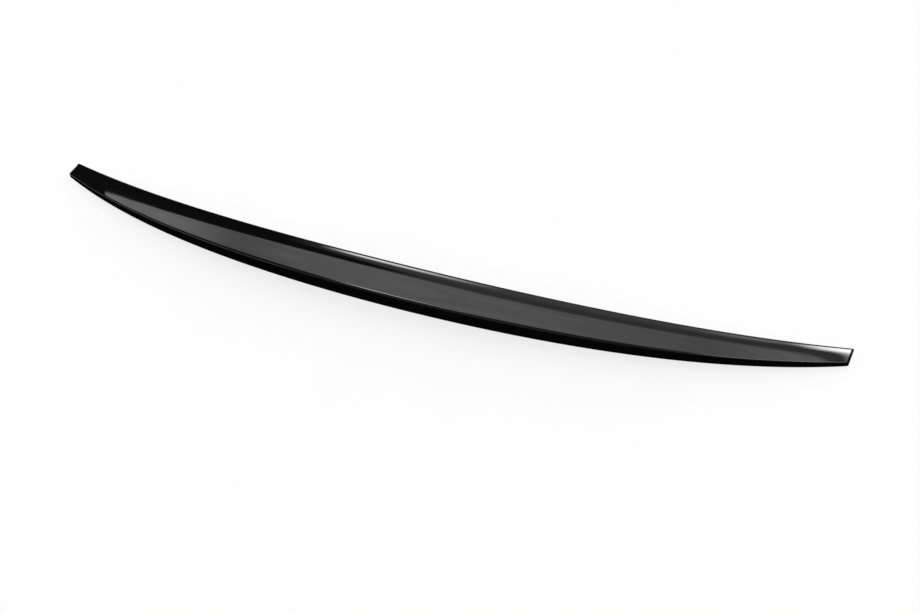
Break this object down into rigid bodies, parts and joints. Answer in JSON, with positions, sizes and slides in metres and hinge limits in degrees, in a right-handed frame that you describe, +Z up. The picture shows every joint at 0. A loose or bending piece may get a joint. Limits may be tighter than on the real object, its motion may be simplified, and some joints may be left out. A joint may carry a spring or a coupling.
{
  "type": "car rear spoiler",
  "caption": "Slim bowed lip spoiler for a car boot lid: tapered gloss black moulding with a hollow-curved top, upright rear face and ribbed open underside for bonding.",
  "frame": {"origin": "middle of the underside on the car's centre line, in the surface that lies on the boot lid", "axes": "+X along the spoiler to the car's right, +Y to the front of the car, +Z up, square to the boot lid at the centre line"},
  "size_m": [1.1988, 0.1492, 0.0485],
  "materials": {
    "gloss_black_abs": "high gloss"
  },
  "bodies": {
    "root": {"spoiler": "gloss_black_abs"}
  },
  "joints": []
}
